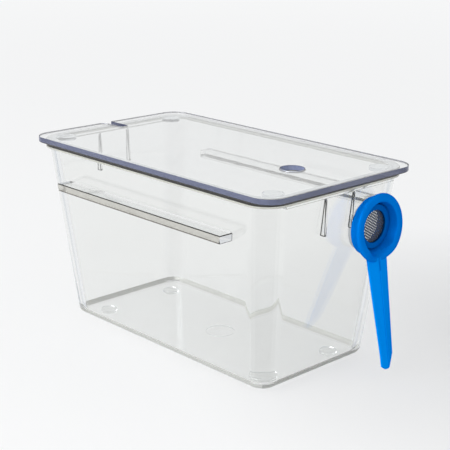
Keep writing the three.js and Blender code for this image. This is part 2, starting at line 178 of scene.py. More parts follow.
# Ring that holds the mesh, and roundings of the strainer's edges
HOLD_RING_BACK = 0.0014
HOLD_RING_FRONT = 0.0036
HOLD_RING_RADIUS = 0.0136
HOLD_RING_ROUNDING = 0.0007
SPIGOT_ROUNDING = 0.0006
BACK_ROUNDING = 0.0008
FLANGE_ROUNDING = 0.0005
SEAT_ROUNDING = 0.0003
GROOVE_ROUNDING = 0.0002

# Spout
SPOUT_AHEAD = 0.0099
SPOUT_LEAN = 0.1775
SPOUT_FOLD = 0.18
SPOUT_EDGE = 0.0004
SPOUT_TOP_DROP = 0.0245
SPOUT_ROWS = 16
SPOUT_COLUMNS = (0.0, 0.1, 0.55, 1.0)
SHOULDER_DROP = 0.027
SHOULDER_HALF_WIDTH = 0.0121
TAPER_DROP = 0.106
TAPER_HALF_WIDTH = 0.0074
TIP_DROP = 0.1171
NEAR_TIP_HALF_WIDTH = 0.004
NEAR_CUT_WIDTH = 0.0034
NEAR_CUT_RISE = 0.0026
FAR_TIP_HALF_WIDTH = 0.0005
FAR_CUT_WIDTH = 0.0069

# Seal ring and wire mesh
SEAL_EDGE = 0.0001
WEAVE_SWAY = 0.00025
WIRE_FLATNESS = 0.5
WEAVE_ANGLE = math.radians(60)

# Fineness of the round shapes
CORNER_STEPS = 40
EDGE_STEPS = 7
LINE_STEPS = 3
MOULD_STEPS = 2
ROUND_STEPS = 96


def metres(name, description, default):
    """A length that a user may change."""
    return FloatProperty(name=name, description=description, default=default, min=0.0, unit="LENGTH",
                         precision=5)


def colour(name, description, default):
    """A colour that a user may change."""
    return FloatVectorProperty(name=name, description=description, default=default, size=4,
                               min=0.0, max=1.0, subtype="COLOR")


class FishTankSizes(bpy.types.PropertyGroup):
    """Sizes that shape the looks within the CAD model's places."""
    wall: metres("Wall", "Thickness of the tub's walls", 0.003)
    base: metres("Floor", "Thickness of the tub's floor", 0.0032)
    taper: metres("Taper", "How far each wall draws in from rim to floor", 0.018)
    rim_corner: metres("Rim corner", "Corner radius of the tub at the rim", 0.018)
    base_corner: metres("Floor corner", "Corner radius of the tub at the floor", 0.013)
    base_edge: metres("Lower edge", "Rounding between walls and floor, outside", 0.0055)
    inner_edge: metres("Inner lower edge", "Rounding between walls and floor, inside", 0.0035)
    corner_fill: metres("Corner fill", "How much rounder the corners are inside than outside", 0.007)
    lip_reach: metres("Lip reach", "How far the rim's lip stands out", 0.003)
    lip_height: metres("Lip height", "Height of the rim's lip", 0.004)
    apron_height: metres("Apron height", "Height of the deeper lip on the end walls", 0.0058)
    port_radius: metres("Port radius", "Radius of the overflow port", 0.0192)
    lip_shade: metres("Lip shade", "Height of the dark band along the lip's upper edge", 0.0023)
    tub_edge: metres("Tub edge", "Rounding of the rim's edges", 0.0006)
    rail_line: metres("Rail line", "Width of the rails' rounded edges", 0.0007)
    rib_line: metres("Rib line", "Width of the ribs' rounded edges", 0.00045)
    lid_edge: metres("Lid edge", "Rounding of the lid plate's upper edge", 0.0003)
    lid_line: metres("Lid line", "Rounding of the lid plate's lower edge", 0.0009)
    small_edge: metres("Small edge", "Rounding of feet, pads and the port collar", 0.0003)
    mouth_rounding: metres("Mouth rounding", "Rounding of the bowl's mouth", 0.0016)
    rim_rounding: metres("Rim rounding", "Rounding of the bowl's rim, outside", 0.0046)
    spout_thickness: metres("Spout thickness", "Thickness of the spout", 0.0016)
    spout_crease: metres("Spout crease", "Depth of the crease down the spout", 0.0009)
    wire_pitch: metres("Wire pitch", "Distance between two wires of the mesh", 0.002)
    wire_radius: metres("Wire radius", "Half the width of one wire", 0.00058)


class FishTankColours(bpy.types.PropertyGroup):
    """Colours and tints of the finishes, many of which are painted light and shade."""
    clear_plastic: colour("Clear plastic", "Tint of the tub", (0.955, 0.96, 0.952, 1))
    clear_lid: colour("Clear lid", "Tint of the lid plate", (0.975, 0.985, 0.985, 1))
    # Painted shade: slate tints on the lid's cut edge and hole wall stand in for dark refraction along the
    # plate's edges
    lid_rim_painted_shade: colour("Lid rim", "Colour of the lid's cut edge", (0.088, 0.1, 0.175, 1))
    lid_hole: colour("Lid hole", "Colour of the inlet hole's wall", (0.17, 0.2, 0.34, 1))
    # Painted shade and reflection: the dark, brown, pale and base-edge tints colour thin lines along
    # moulded edges
    dark_line: colour("Dark line", "Colour of the edges that look dark", (0.018, 0.017, 0.015, 1))
    brown_painted_line_tint: colour("Brown line", "Tint of the rails' lower edges", (0.06, 0.052, 0.036, 1))
    pale_painted_line_tint: colour("Pale line", "Tint of the lip's lower edge", (0.5, 0.5, 0.44, 1))
    base_edge: colour("Base edge", "Tint of the tub's lower edge and far rail", (0.66, 0.66, 0.6, 1))
    # Painted highlight: the pale tint on the rim's top stands in for light
    rim_top: colour("Rim top", "Tint of the rim's top, under the lid", (0.88, 0.89, 0.89, 1))
    # Painted shade: a grey tint on the near rail's outer face only
    rail_painted_shade_tint: colour("Rail face", "Tint of the near rail's outer face", (0.47, 0.46, 0.42, 1))
    collar: colour("Collar", "Tint of the collar round the port", (0.7, 0.72, 0.74, 1))
    pad: colour("Pad", "Tint of the pads under the lid", (0.93, 0.95, 0.96, 1))
    strainer_blue: colour("Strainer blue", "Colour of the strainer", (0.0, 0.185, 0.7, 1))
    strainer_deep: colour("Strainer shade", "Blue of the strainer's flow marks", (0.0, 0.155, 0.61, 1))
    # Painted light: the spout's brighter blue stands in for the light on its leaning face
    spout_painted_light_blue: colour("Spout blue", "Brighter blue of the thin spout", (0.0, 0.26, 0.88, 1))
    # Painted shade: the hollow and bore blues are darker copies of the strainer's blue for the shade in its
    # bowl and spigot
    hollow_painted_shade_blue: colour("Hollow blue", "Deeper blue inside the strainer's bowl", (0.0, 0.15, 0.6, 1))
    bore_painted_shade_blue: colour("Bore blue", "Colour inside the strainer's spigot", (0.0, 0.05, 0.19, 1))
    wire: colour("Wire", "Colour of the woven wire", (0.13, 0.145, 0.18, 1))
    rubber: colour("Rubber", "Colour of the seal ring", (0.45, 0.5, 0.56, 1))
    floor: colour("Floor", "Colour of the studio floor", (0.88, 0.885, 0.89, 1))


class Signal:
    """A number or colour that a material's node gives out, ready for plain sums."""

    def __init__(self, paint, socket):
        self.paint = paint
        self.socket = socket

    def _math(self, operation, first, second=0.0):
        return self.paint.node("ShaderNodeMath", {"operation": operation}, {0: first, 1: second})

    def __add__(self, other):
        return self._math("ADD", self, other)

    def __radd__(self, other):
        return self._math("ADD", other, self)

    def __sub__(self, other):
        return self._math("SUBTRACT", self, other)

    def __rsub__(self, other):
        return self._math("SUBTRACT", other, self)

    def __mul__(self, other):
        return self._math("MULTIPLY", self, other)

    def __rmul__(self, other):
        return self._math("MULTIPLY", other, self)


class Paint:
    """The node tree of one finish."""

    def __init__(self, name):
        self.material = bpy.data.materials.new(name)
        self.material.use_nodes = True
        self.tree = self.material.node_tree
        self.tree.nodes.clear()

    def node(self, kind, settings=None, inputs=None, output=0):
        """One node: its settings first, then the values or links of its sockets."""
        made = self.tree.nodes.new(kind)
        for key, value in (settings or {}).items():
            setattr(made, key, value)
        for key, value in (inputs or {}).items():
            if isinstance(value, Signal):
                self.tree.links.new(value.socket, made.inputs[key])
            else:
                made.inputs[key].default_value = value
        return Signal(self, made.outputs[output])

    def object_place(self, scale=(1, 1, 1), shift=(0, 0, 0)):
        """Object coordinates, stretched and shifted by a Mapping node."""
        place = self.node("ShaderNodeTexCoord", output="Object")
        return self.node("ShaderNodeMapping", {}, {"Vector": place, "Scale": scale, "Location": shift})

    def cloud(self, scale, detail=2.0, stretch=(1, 1, 1)):
        """Soft noise between 0 and 1."""
        return self.node("ShaderNodeTexNoise", {}, {
            "Vector": self.object_place(stretch), "Scale": scale, "Detail": detail})

    def round_fade(self, scale, shift=(0, 0, 0)):
        """1 in the middle of a ball, fading to 0 at its skin."""
        place = self.object_place((scale, scale, scale), shift)
        return self.node("ShaderNodeTexGradient", {"gradient_type": "SPHERICAL"}, {"Vector": place})

    def blend(self, factor, first, second):
        """A colour between two others."""
        return self.node("ShaderNodeMix", {"data_type": "RGBA"}, {
            MIX_FACTOR: factor, MIX_FIRST: first, MIX_SECOND: second}, MIX_RESULT)

    def bump(self, height, distance, strength):
        """Small relief for a Normal socket."""
        return self.node("ShaderNodeBump", {}, {
            "Height": height, "Distance": distance, "Strength": strength})

    def surface(self, **values):
        """A Principled shader with its sockets named by keyword, such as Base_Color."""
        return self.node("ShaderNodeBsdfPrincipled", {}, {
            key.replace("_", " "): value for key, value in values.items()})

    def light_path(self, output):
        """What kind of ray meets the surface, or how often it has turned."""
        return self.node("ShaderNodeLightPath", output=output)

    def larger(self, first, second):
        """The larger of two signals."""
        return self.node("ShaderNodeMath", {"operation": "MAXIMUM"}, {0: first, 1: second})

    def lets_light_through(self, shader, tint, share):
        """Shadow rays pass the plastic, and so does light thrown about inside it."""
        gap = self.node("ShaderNodeBsdfTransparent", {}, {"Color": tint})
        turns = self.light_path("Glossy Depth")
        trapped = self.node("ShaderNodeMath", {"operation": "GREATER_THAN"}, {0: turns, 1: MOST_TURNS})
        passing = self.larger(self.light_path("Is Shadow Ray") * share, trapped)
        return self.node("ShaderNodeMixShader", {}, {0: passing, 1: shader, 2: gap})

    def finish(self, shader):
        """The material, with this shader as its surface."""
        output = self.tree.nodes.new("ShaderNodeOutputMaterial")
        self.tree.links.new(shader.socket, output.inputs["Surface"])
        return self.material


def shade(values, factor):
    """A darker or lighter copy of a colour."""
    return tuple(min(1.0, part * factor) for part in values[:3]) + (1.0,)


def clear_plastic(name, tint, roughness=0.0, bending=ACRYLIC_IOR):
    """Polished clear plastic with the faint waviness and flow marks of a moulding."""
    paint = Paint(name)
    flow = paint.cloud(scale=9.0, stretch=(1, 1, 0.35))
    ripple = paint.cloud(scale=26.0, detail=1.0)
    shader = paint.surface(
        Base_Color=paint.blend(flow, tint, shade(tint, factor=0.985)),
        Roughness=flow * 0.02 + roughness,
        Normal=paint.bump(ripple, distance=0.0002, strength=0.25),
        Transmission_Weight=1.0,
        IOR=bending,
    )
    return paint.finish(paint.lets_light_through(shader, CLEAR_SHADOW, CLEAR_SHADOW_SHARE))


def tinted_edge(name, tint, body, roughness=0.12):
    """A rounded or cut edge, where light from inside the plate makes a coloured line; the line is painted,
    a tint that stands in for the reflection and shade along the edge.
    """
    paint = Paint(name)
    streak = paint.cloud(scale=60.0, detail=3.0)
    shader = paint.surface(
        Base_Color=paint.blend(streak, tint, shade(tint, factor=0.82)),
        Roughness=streak * 0.1 + roughness,
        Transmission_Weight=body,
        IOR=ACRYLIC_IOR,
    )
    return paint.finish(paint.lets_light_through(shader, EDGE_SHADOW, EDGE_SHADOW_SHARE))


def blue_plastic(name, base, deep):
    """Satin moulded plastic: soft flow marks and a fine grain."""
    paint = Paint(name)
    flow = paint.cloud(scale=55.0, detail=3.0, stretch=(1, 1, 0.3))
    grain = paint.cloud(scale=2600.0)
    shader = paint.surface(
        Base_Color=paint.blend(flow, base, deep),
        Roughness=flow * 0.1 + 0.3,
        Normal=paint.bump(grain, distance=0.00004, strength=0.35),
        Specular_IOR_Level=0.0,
        Metallic=0.2,
        Specular_Tint=(0.0, 0.3, 1.0, 1),
    )
    return paint.finish(shader)


def steel_wire(name, base):
    """Drawn steel wire, duller where it is worn."""
    paint = Paint(name)
    wear = paint.cloud(scale=900.0, detail=3.0)
    shader = paint.surface(
        Base_Color=paint.blend(wear, base, shade(base, factor=0.6)),
        Roughness=wear * 0.25 + 0.3,
        Metallic=0.85,
    )
    return paint.finish(shader)


def seal_rubber(name, base):
    """Dull moulded rubber."""
    paint = Paint(name)
    grain = paint.cloud(scale=1400.0, detail=4.0)
    shader = paint.surface(
        Base_Color=paint.blend(grain, base, shade(base, factor=1.6)),
        Roughness=grain * 0.2 + 0.55,
        Normal=paint.bump(grain, distance=0.00005, strength=0.5),
    )
    return paint.finish(shader)


def studio_floor(name, base):
    """Matt paper floor with a painted shadow beside the tank and painted light that makes it paler far off;
    the eye, gloss and glass see it partly lit from behind.
    """
    paint = Paint(name)
    fibre = paint.cloud(scale=700.0, detail=4.0)
    tone = paint.blend(fibre, base, shade(base, factor=0.985))
    # Painted light: the floor's tone grows paler far from the tank
    tone = paint.blend(paint.round_fade(PAINTED_LIGHT_FADE_SCALE), shade(base, PAINTED_FAR_BRIGHTENING), tone)
    # Painted shadow: a soft darker patch on the floor beside the tank
    painted_shadow = paint.round_fade(PAINTED_SHADOW_SCALE, PAINTED_SHADOW_PLACE)
    tone = paint.blend(painted_shadow * PAINTED_SHADOW_SHARE, tone, shade(base, PAINTED_SHADOW_TONE))
    paper = paint.surface(Base_Color=tone, Roughness=fibre * 0.1 + 0.85, Specular_IOR_Level=0.1)
    glow = paint.node("ShaderNodeEmission", {}, {"Color": tone, "Strength": GLOW_STRENGTH})
    seen = paint.larger(paint.light_path("Is Camera Ray"), paint.light_path("Is Glossy Ray"))
    seen = paint.larger(seen, paint.light_path("Is Transmission Ray"))
    return paint.finish(paint.node("ShaderNodeMixShader", {}, {0: seen * FLOOR_GLOW, 1: paper, 2: glow}))


def cad_copy(node):
    """A welded copy of a CAD node's mesh, with its flat faces joined."""
    bm = bmesh.new()
    bm.from_mesh(frame["nodes"][node].data)
    return tidy(bm)


def tidy(bm):
    """Merges a shape's doubled corners and joins its flat faces."""
    bmesh.ops.remove_doubles(bm, verts=bm.verts, dist=WELD)
    bmesh.ops.dissolve_limit(bm, angle_limit=FLAT_ANGLE, verts=bm.verts, edges=bm.edges)
    return bm


def add_object(name, data):
    """An object in the scene."""
    item = bpy.data.objects.new(name, data)
    bpy.context.scene.collection.objects.link(item)
    return item


def add_mesh(name, bm):
    """An object with a shape of its own."""
    mesh = bpy.data.meshes.new(name)
    bm.to_mesh(mesh)
    bm.free()
    return add_object(name, mesh)


def combine(first, second, operation):
    """Joins or cuts two closed shapes and gives the new one."""
    pair = [add_mesh(f"work_{place}", bm) for place, bm in enumerate((first, second))]
    change = pair[0].modifiers.new("combine", "BOOLEAN")
    change.operation = operation
    change.solver = "EXACT"
    change.object = pair[1]
    made = bmesh.new()
    made.from_object(pair[0], bpy.context.evaluated_depsgraph_get())
    for item in pair:
        mesh = item.data
        bpy.data.objects.remove(item)
        bpy.data.meshes.remove(mesh)
    return tidy(made)


def show(name, bm, materials):
    """Turns a shape into a smooth-shaded piece with its sharp edges marked."""
    bmesh.ops.recalc_face_normals(bm, faces=bm.faces)
    for face in bm.faces:
        face.smooth = True
    for edge in bm.edges:
        edge.smooth = len(edge.link_faces) == 2 and edge.calc_face_angle(0) < SHARP_ANGLE
    piece = add_mesh(name, bm)
    for material in materials:
        piece.data.materials.append(material)
    return piece


def even_shading(piece):
    """Keeps a piece's flat faces flat beside its rounded edges."""
    piece.modifiers.new("even shading", "WEIGHTED_NORMAL").keep_sharp = True


def round_edges(piece, width):
    """Rounds a piece's sharp edges."""
    bevel = piece.modifiers.new("rounded edges", "BEVEL")
    bevel.width = width
    bevel.segments = MOULD_STEPS
    bevel.limit_method = "ANGLE"
    bevel.angle_limit = SHARP_ANGLE
    bevel.harden_normals = True


def outline_edges(bm, wanted):
    """The convex edges of a shape whose middle passes a test."""
    return [edge for edge in bm.edges
            if edge.is_convex and edge.calc_face_angle(0) > OUTLINE_ANGLE
            and wanted((edge.verts[0].co + edge.verts[1].co) / 2)]


def line_edges(bm, edges, width, material):
    """Rounds chosen edges, whose rounding has a finish of its own."""
    bmesh.ops.bevel(bm, geom=edges, offset=width, offset_type="OFFSET", segments=LINE_STEPS, profile=0.5,
                    affect="EDGES", material=material)


def dress(piece, *nodes):
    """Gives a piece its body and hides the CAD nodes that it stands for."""
    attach(piece, BODIES[nodes[0]])
    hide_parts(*nodes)


def moulded_piece(node, width, materials):
    """A CAD node's shape with rounded edges and a finish."""
    piece = show(f"{node}_moulding", cad_copy(node), materials)
    round_edges(piece, width)
    dress(piece, node)


def finish_of(name, make, *colours, **measures):
    """A finish by name, made the first time it is needed."""
    found = bpy.data.materials.get(name)
    return found if found else make(name, *colours, **measures)


def tub_finishes(colours):
    """Clear plastic, then the painted light and shade of the tank's faces and edges, in the order of their
    names.
    """
    return [
        finish_of("clear_tub_plastic", clear_plastic, colours.clear_plastic),
        finish_of("pale_edge_line", tinted_edge, colours.pale_painted_line_tint, body=0.5),
        finish_of("dark_edge_line", tinted_edge, colours.dark_line, body=0.12),
        finish_of("rail_outer_face", tinted_edge, colours.rail_painted_shade_tint, body=0.5),
        finish_of("bright_rim_top", tinted_edge, colours.rim_top, body=0.4),
        finish_of("lip_dark_line", tinted_edge, colours.dark_line, body=0.0),
        finish_of("soft_base_edge", tinted_edge, colours.base_edge, body=0.8, roughness=0.3),
        finish_of("rail_lower_line", tinted_edge, colours.brown_painted_line_tint, body=0.2),
        # Painted shade: the corners take a darker copy of the clear plastic
        finish_of("clear_corner_plastic", clear_plastic, shade(colours.clear_plastic, factor=0.95)),
        finish_of("dark_base_edge", tinted_edge, shade(colours.base_edge, factor=0.5),
                  body=0.6, roughness=0.3),
    ]


def add_section(bm, half_length, half_width, radius, height):
    """A level face with round corners."""
    known = set(bm.faces)
    place = Matrix.Translation((TUB_X, 0, height)) @ Matrix.Diagonal((half_length, half_width, 1, 1))
    corners = bmesh.ops.create_grid(bm, x_segments=1, y_segments=1, size=1.0, matrix=place)["verts"]
    bmesh.ops.bevel(bm, geom=corners, offset=radius, offset_type="OFFSET", segments=CORNER_STEPS,
                    profile=0.5, affect="VERTICES", material=-1)
    return next(face for face in bm.faces if face not in known)


def loft(bm, sections):
    """Joins a stack of faces into one closed skin; only the first and last faces stay."""
    loops = [list(face.edges) for face in sections]
    bmesh.ops.delete(bm, geom=sections[1:-1], context="FACES_ONLY")
    for low, high in zip(loops, loops[1:]):
        bmesh.ops.bridge_loops(bm, edges=low + high)


def tub_section(sizes, height, inset):
    """Half sizes, corner radius and height of the tub's walls, drawn in by an inset."""
    share = (height - TUB_LOW[2]) / (TUB_HIGH[2] - TUB_LOW[2])
    drawn = sizes.taper * (1 - share) + inset + sizes.lip_reach
    radius = sizes.base_corner + (sizes.rim_corner - sizes.base_corner) * share - inset
    if inset >= sizes.wall:
        radius += sizes.corner_fill
    return TUB_HALF_LENGTH - drawn, TUB_HALF_WIDTH - drawn, radius, height


def rounded_base(sizes, bottom, inset, edge):
    """Sections from a tapered body's lowest face up to where its walls run straight."""
    sections = []
    for step in range(EDGE_STEPS + 1):
        angle = QUARTER * step / EDGE_STEPS
        height = bottom + edge * (1 - math.cos(angle))
        sections.append(tub_section(sizes, height, inset + edge * (1 - math.sin(angle))))
    return sections


def tub_shell(sizes):
    """The tub's walls, floor and lip in one closed skin, from its underside round to its inner floor."""
    top = TUB_HIGH[2]
    edge = sizes.tub_edge
    lip = tub_section(sizes, top, -sizes.lip_reach)[:3]
    sections = rounded_base(sizes, TUB_LOW[2], 0, sizes.base_edge)
    sections.append(tub_section(sizes, top - sizes.lip_height - LEVEL_STEP, 0))
    sections += [(*lip, top - sizes.lip_height), (*lip, top - edge)]
    sections.append(tub_section(sizes, top, edge - sizes.lip_reach))
    sections.append(tub_section(sizes, top - LEVEL_STEP, sizes.wall - edge))
    sections.append(tub_section(sizes, top - edge, sizes.wall))
    sections += reversed(rounded_base(sizes, TUB_LOW[2] + sizes.base, sizes.wall, sizes.inner_edge))
    bm = bmesh.new()
    loft(bm, [add_section(bm, *section) for section in sections])
    bmesh.ops.recalc_face_normals(bm, faces=bm.faces)
    return bm


def block(low, high):
    """A box between two corners."""
    bm = bmesh.new()
    middle = (Vector(low) + Vector(high)) / 2
    size = Vector(high) - Vector(low)
    bmesh.ops.create_cube(bm, size=1.0, matrix=Matrix.Translation(middle) @ Matrix.Diagonal((*size, 1)))
    return bm


def disc(radius, depth, place, turn=0.0):
    """A round block, stood up or turned on its side about Y."""
    bm = bmesh.new()
    bmesh.ops.create_cone(bm, cap_ends=True, segments=ROUND_STEPS, radius1=radius, radius2=radius,
                          depth=depth, matrix=Matrix.Translation(place) @ Matrix.Rotation(turn, 4, "Y"))
    return bm


def tub_shape(sizes):
    """The tub with its end aprons, the port and the round mark under its floor."""
    top = TUB_HIGH[2]
    straight = TUB_HALF_WIDTH - sizes.lip_reach - sizes.rim_corner
    outer = TUB_HALF_LENGTH
    inner = outer - sizes.lip_reach - sizes.wall / 2
    bm = tub_shell(sizes)
    for low, high in ((inner, outer), (-outer, -inner)):
        apron = block((TUB_X + low, -straight, top - sizes.apron_height),
                      (TUB_X + high, straight, top - sizes.tub_edge))
        bm = combine(bm, apron, "UNION")
    port = disc(sizes.port_radius, PORT_CUT, (TUB_HIGH[0], AXIS.y, AXIS.z), QUARTER)
    bm = combine(bm, port, "DIFFERENCE")
    return combine(bm, disc(GATE_MARK_RADIUS, GATE_MARK_DEPTH, (0, 0, TUB_LOW[2])), "DIFFERENCE")


def finish_tub(bm, sizes):
    """Paints light and shade on the tub: a painted highlight on the rim's top, painted shade and a painted
    pale line on the lip's two bands, painted lines along the lower edge and a painted darker shade on the
    corners.
    """
    top = TUB_HIGH[2]
    split = top - sizes.lip_shade
    for height in (split, top - sizes.lip_height + LEVEL_STEP):
        everything = list(bm.verts) + list(bm.edges) + list(bm.faces)
        bmesh.ops.bisect_plane(bm, geom=everything, plane_co=(0, 0, height), plane_no=(0, 0, 1))
    bm.normal_update()
    for face in bm.faces:
        middle = face.calc_center_median()
        to_end, to_side = abs(face.normal.x), abs(face.normal.y)
        # Painted highlight on the rim's top
        if middle.z > top - sizes.tub_edge - WELD and face.normal.z > LEVEL_ENOUGH:
            face.material_index = PAINTED_RIM_HIGHLIGHT
        elif middle.z > top - sizes.lip_height and is_outside(middle, sizes):
            # Painted shade on the lip: its upper band dark, darkest on the long sides, its lower band a
            # painted pale line
            dark = PAINTED_LIP_SHADE if to_side > to_end * CORNER_SHARE else PAINTED_DARK_LINE
            face.material_index = dark if middle.z > split else PAINTED_PALE_LINE
        # Painted lines along the tub's lower edge, on its sides and on its ends
        elif middle.z < TUB_LOW[2] + sizes.base_edge and SIDEWAYS < -face.normal.z < DOWNWARDS:
            face.material_index = PAINTED_SIDE_BASE_LINE if to_side > to_end else PAINTED_END_BASE_LINE
        # Painted shade: the rounded corners below the aprons take the darker clear plastic
        elif middle.z < top - sizes.apron_height and min(to_end, to_side) > CORNER_TURN:
            face.material_index = CORNER


def is_outside(point, sizes):
    """Whether a point of the rim is on the lip's outer side."""
    half_length, half_width, radius, _ = tub_section(sizes, TUB_HIGH[2], -sizes.lip_reach / 2)
    beyond_x = abs(point.x - TUB_X) - half_length + radius
    beyond_y = abs(point.y) - half_width + radius
    return math.hypot(max(0, beyond_x), max(0, beyond_y)) > radius


class FISHTANK_OT_tub(bpy.types.Operator):
    """Moulds the clear tub with its rim lip and the port's hole"""
    bl_idname = "fishtank.tub"
    bl_label = "Tub"

    def execute(self, context):
        sizes = context.scene.fish_tank_sizes
        bm = tub_shape(sizes)
        lowest = TUB_HIGH[2] - sizes.apron_height - LEVEL_STEP
        highest = TUB_HIGH[2] - sizes.lip_height + LEVEL_STEP
        apron_edges = outline_edges(bm, lambda point: lowest < point.z < highest)
        # Painted pale lines along the aprons' edges
        line_edges(bm, apron_edges, sizes.tub_edge, PAINTED_PALE_LINE)
        finish_tub(bm, sizes)
        piece = show("tank_tub_moulding", bm, tub_finishes(context.scene.fish_tank_colours))
        even_shading(piece)
        dress(piece, "tank_tub")
        return {"FINISHED"}


def rail_shape(node, side, width):
    """A side rail with painted lines along its edges; the near one has a painted shade on its outer face
    and darker painted lines.
    """
    bm = cad_copy(node)
    low, high = (Vector(corner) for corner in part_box(node))
    outer = high.y if side == "far" else low.y
    middle = (low + high) / 2

    def at_front(point):
        return abs(point.y - outer) < WELD

    def at_end(point):
        return abs(abs(point.x - middle.x) - (high.x - low.x) / 2) < END_DRAFT

    def is_upright(point):
        return abs(point.z - middle.z) < width

    # Painted shade on the near rail's outer face only
    for face in bm.faces:
        if side == "near" and at_front(face.calc_center_median()):
            face.material_index = PAINTED_RAIL_SHADE
    # Painted lines along the rails' edges: dark on the near rail, the base-edge tint on the far one, brown
    # under the outer face
    line = PAINTED_DARK_LINE if side == "near" else PAINTED_SIDE_BASE_LINE
    lines = (
        (2 * width, PAINTED_RAIL_LOWER_LINE, lambda point: at_front(point) and point.z < low.z + WELD),
        (2 * width, line, lambda point: is_upright(point) and at_end(point) and not at_front(point)),
        (width, line, lambda point: at_end(point) != at_front(point)),
    )
    for line_width, material, wanted in lines:
        line_edges(bm, outline_edges(bm, wanted), line_width, material)
    return bm


class FISHTANK_OT_rails(bpy.types.Operator):
    """Adds the two side rails that the tank hangs by"""
    bl_idname = "fishtank.rails"
    bl_label = "Side rails"

    def execute(self, context):
        sizes = context.scene.fish_tank_sizes
        for side in SIDES:
            node = f"side_rail_{side}"
            bm = rail_shape(node, side, sizes.rail_line)
            piece = show(f"{node}_moulding", bm, tub_finishes(context.scene.fish_tank_colours))
            even_shading(piece)
            dress(piece, node)
        return {"FINISHED"}


class FISHTANK_OT_ribs(bpy.types.Operator):
    """Adds the four upright ribs on the end walls"""
    bl_idname = "fishtank.ribs"
    bl_label = "End ribs"

    def execute(self, context):
        sizes = context.scene.fish_tank_sizes
        for corner in CORNERS:
            node = f"end_rib_{corner}"
            bm = cad_copy(node)
            # Painted dark lines along the ribs' edges
            line_edges(bm, outline_edges(bm, lambda point: True), sizes.rib_line, PAINTED_DARK_LINE)
            piece = show(f"{node}_moulding", bm, tub_finishes(context.scene.fish_tank_colours))
            even_shading(piece)
            dress(piece, node)
        return {"FINISHED"}


class FISHTANK_OT_collar(bpy.types.Operator):
    """Adds the collar round the overflow port"""
    bl_idname = "fishtank.collar"
    bl_label = "Port collar"

    def execute(self, context):
        sizes = context.scene.fish_tank_sizes
        tint = context.scene.fish_tank_colours.collar
        collar = finish_of("frosted_collar", tinted_edge, tint, body=0.35, roughness=0.4)
        moulded_piece("port_collar", sizes.small_edge, [collar])
        return {"FINISHED"}


class FISHTANK_OT_feet(bpy.types.Operator):
    """Adds the four round feet"""
    bl_idname = "fishtank.feet"
    bl_label = "Feet"

    def execute(self, context):
        sizes = context.scene.fish_tank_sizes
        for corner in CORNERS:
            moulded_piece(f"foot_{corner}", sizes.small_edge, tub_finishes(context.scene.fish_tank_colours))
        return {"FINISHED"}


def in_lid_middle(point):
    """Whether a point is well inside the lid's outline, as the inlet hole is."""
    inside_ends = abs(point.x - TUB_X) < TUB_HALF_LENGTH * LID_MIDDLE_LENGTH
    return inside_ends and abs(point.y) < TUB_HALF_WIDTH * LID_MIDDLE_WIDTH


class FISHTANK_OT_lid(bpy.types.Operator):
    """Lays the clear lid plate with its inlet hole and feed notch"""
    bl_idname = "fishtank.lid"
    bl_label = "Lid plate"

    def execute(self, context):
        sizes = context.scene.fish_tank_sizes
        colours = context.scene.fish_tank_colours
        finishes = [
            finish_of("clear_lid_plastic", clear_plastic, colours.clear_lid),
            finish_of("lid_cut_edge", tinted_edge, colours.lid_rim_painted_shade, body=0.3),
            finish_of("lip_dark_line", tinted_edge, colours.dark_line, body=0.0),
            finish_of("lid_hole_edge", tinted_edge, colours.lid_hole, body=0.3),
        ]
        bm = cad_copy("lid_plate")
        # Painted shade: the lid's upright faces take slate tints
        for face in bm.faces:
            if abs(face.normal.z) < UPRIGHT_ENOUGH:
                face.material_index = PAINTED_SHADE_LID_HOLE if in_lid_middle(face.calc_center_median()) else PAINTED_SHADE_LID_EDGE
        middle = sum(corner[2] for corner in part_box("lid_plate")) / 2
        # Painted lines: a near-black one along the lid's lower edge, a slate one along its upper edge
        line_edges(bm, outline_edges(bm, lambda point: point.z < middle), sizes.lid_line, PAINTED_SHADE_LID_LINE)
        line_edges(bm, outline_edges(bm, lambda point: point.z > middle), sizes.lid_edge, PAINTED_SHADE_LID_EDGE)
        plate = show("lid_plate_moulding", bm, finishes)
        even_shading(plate)
        dress(plate, "lid_plate")
        return {"FINISHED"}


class FISHTANK_OT_lid_pads(bpy.types.Operator):
    """Adds the four round pads under the lid"""
    bl_idname = "fishtank.lid_pads"
    bl_label = "Lid pads"

    def execute(self, context):
        sizes = context.scene.fish_tank_sizes
        tint = context.scene.fish_tank_colours.pad
        pad = finish_of("lid_pad_plastic", clear_plastic, tint, roughness=0.08, bending=PAD_IOR)
        for corner in CORNERS:
            moulded_piece(f"lid_pad_{corner}", sizes.small_edge, [pad])
        return {"FINISHED"}


def turned(outline):
    """A closed body turned about the port's axis, from corners of [ahead, radius, rounding]."""
    bm = bmesh.new()
    corners = [bm.verts.new(AXIS + Vector((ahead, radius, 0))) for ahead, radius, _ in outline]
    bm.faces.new(corners)
    for corner, (_, _, rounding) in zip(corners, outline):
        if rounding:
            bmesh.ops.bevel(bm, geom=[corner], offset=rounding, offset_type="OFFSET", segments=EDGE_STEPS,
                            profile=0.5, affect="VERTICES", material=-1)
    bmesh.ops.delete(bm, geom=list(bm.faces), context="FACES_ONLY")
    bmesh.ops.spin(bm, geom=list(bm.verts) + list(bm.edges), cent=AXIS, axis=(1, 0, 0),
                   angle=2 * math.pi, steps=ROUND_STEPS, use_merge=True, use_duplicate=False)
    bmesh.ops.remove_doubles(bm, verts=bm.verts, dist=WELD)
    bmesh.ops.recalc_face_normals(bm, faces=bm.faces)
    return bm


def limited(value):
    """A value held between 0 and 1."""
    return min(1.0, max(0.0, value))


def hollow_radius(ahead):
    """Radius of the bowl's hollow, which widens towards its mouth."""
    return THROAT_RADIUS + (MOUTH_RADIUS - THROAT_RADIUS) * ahead / MOUTH_AHEAD


